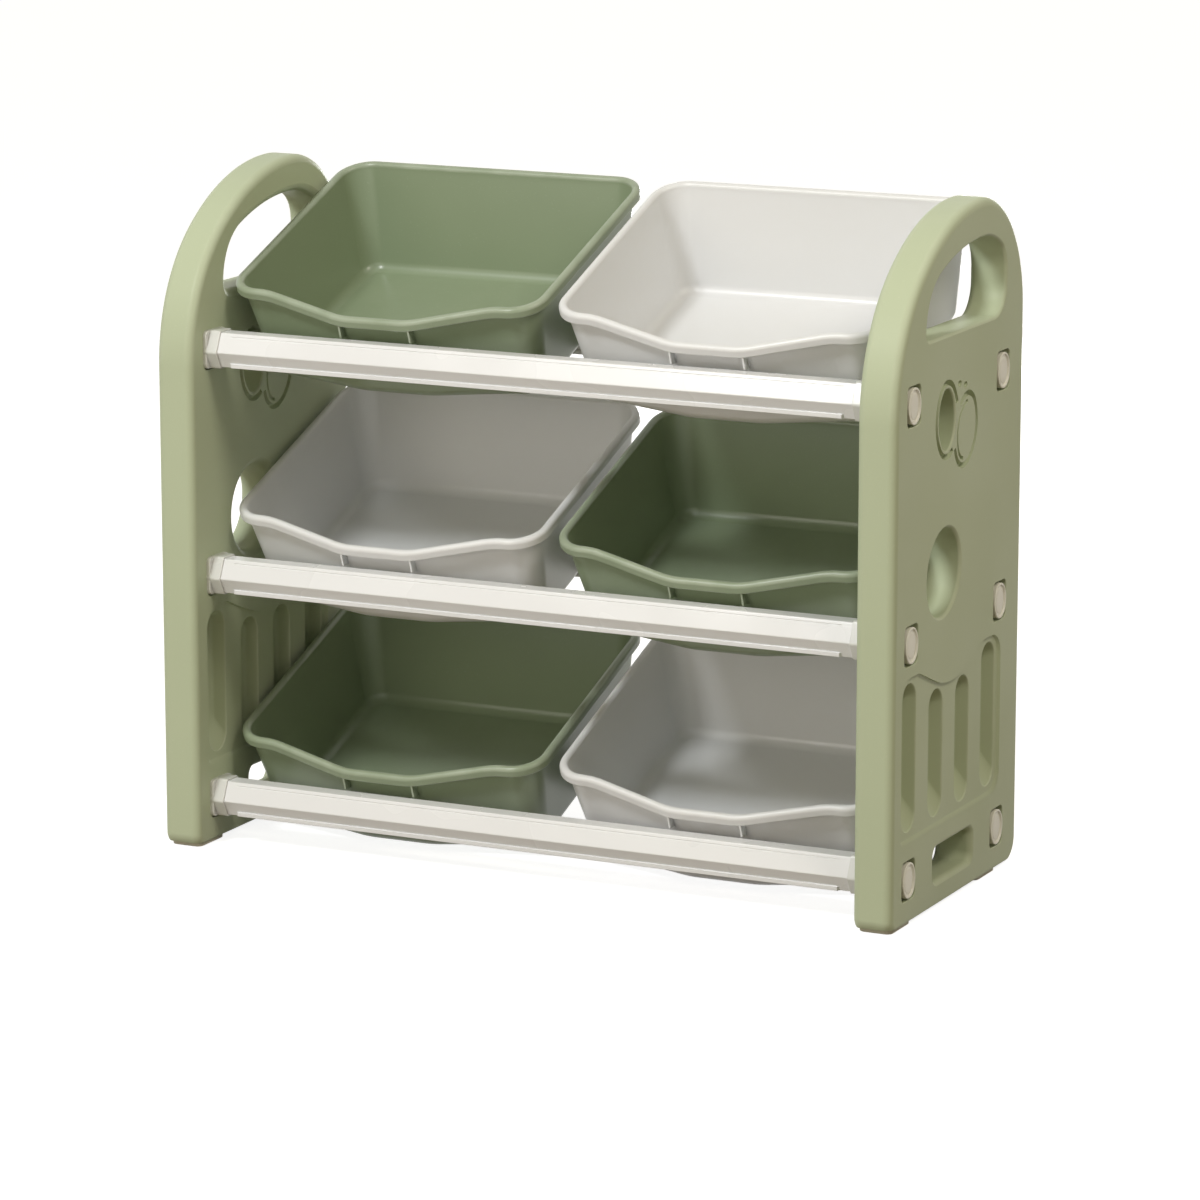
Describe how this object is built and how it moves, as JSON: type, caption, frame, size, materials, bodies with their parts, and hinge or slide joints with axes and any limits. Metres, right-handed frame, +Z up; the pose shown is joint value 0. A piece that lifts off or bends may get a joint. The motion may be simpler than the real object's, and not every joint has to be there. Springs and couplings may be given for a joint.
{
  "type": "toy storage rack with tilted bins",
  "caption": "Children's toy rack: arched moulded side panels with handle holes carry tiers of rails on which loose tilted bins rest and lift out.",
  "frame": {"origin": "on the floor, midway between the side panels and midway along their depth", "axes": "+X to the right seen from the front, +Y to the back, +Z up"},
  "size_m": [0.8344, 0.342, 0.711],
  "materials": {
    "panel_green": "fine satin grain",
    "bin_green": "soft gloss",
    "bin_white": "soft gloss",
    "rail_white": "soft gloss",
    "connector_grey": "satin",
    "cap_grey": "satin",
    "foot_rubber": "matt"
  },
  "bodies": {
    "rack": {"connector_left_front_bottom": "connector_grey", "connector_left_front_middle": "connector_grey", "connector_left_front_top": "connector_grey", "connector_left_rear_bottom": "connector_grey", "connector_left_rear_middle": "connector_grey", "connector_left_rear_top": "connector_grey", "connector_right_front_bottom": "connector_grey", "connector_right_front_middle": "connector_grey", "connector_right_front_top": "connector_grey", "connector_right_rear_bottom": "connector_grey", "connector_right_rear_middle": "connector_grey", "connector_right_rear_top": "connector_grey", "foot_left_front": "foot_rubber", "foot_left_rear": "foot_rubber", "foot_right_front": "foot_rubber", "foot_right_rear": "foot_rubber", "lock_caps": "cap_grey", "rail_front_bottom": "rail_white", "rail_front_middle": "rail_white", "rail_front_top": "rail_white", "rail_rear_bottom": "rail_white", "rail_rear_middle": "rail_white", "rail_rear_top": "rail_white", "side_panel_left": "panel_green", "side_panel_right": "panel_green"},
    "bin_left_bottom": {"bin_left_bottom": "bin_green"},
    "bin_left_middle": {"bin_left_middle": "bin_white"},
    "bin_left_top": {"bin_left_top": "bin_green"},
    "bin_right_bottom": {"bin_right_bottom": "bin_white"},
    "bin_right_middle": {"bin_right_middle": "bin_green"},
    "bin_right_top": {"bin_right_top": "bin_white"}
  },
  "joints": [
    {"name": "bin_left_bottom_lift", "type": "slide", "parent": "rack", "child": "bin_left_bottom", "axis": [0, 0, 1], "range_m": [0, 0.062]},
    {"name": "bin_left_middle_lift", "type": "slide", "parent": "rack", "child": "bin_left_middle", "axis": [0, 0, 1], "range_m": [0, 0.062]},
    {"name": "bin_left_top_lift", "type": "slide", "parent": "rack", "child": "bin_left_top", "axis": [0, 0, 1], "range_m": [0, 0.22]},
    {"name": "bin_right_bottom_lift", "type": "slide", "parent": "rack", "child": "bin_right_bottom", "axis": [0, 0, 1], "range_m": [0, 0.062]},
    {"name": "bin_right_middle_lift", "type": "slide", "parent": "rack", "child": "bin_right_middle", "axis": [0, 0, 1], "range_m": [0, 0.062]},
    {"name": "bin_right_top_lift", "type": "slide", "parent": "rack", "child": "bin_right_top", "axis": [0, 0, 1], "range_m": [0, 0.22]}
  ]
}
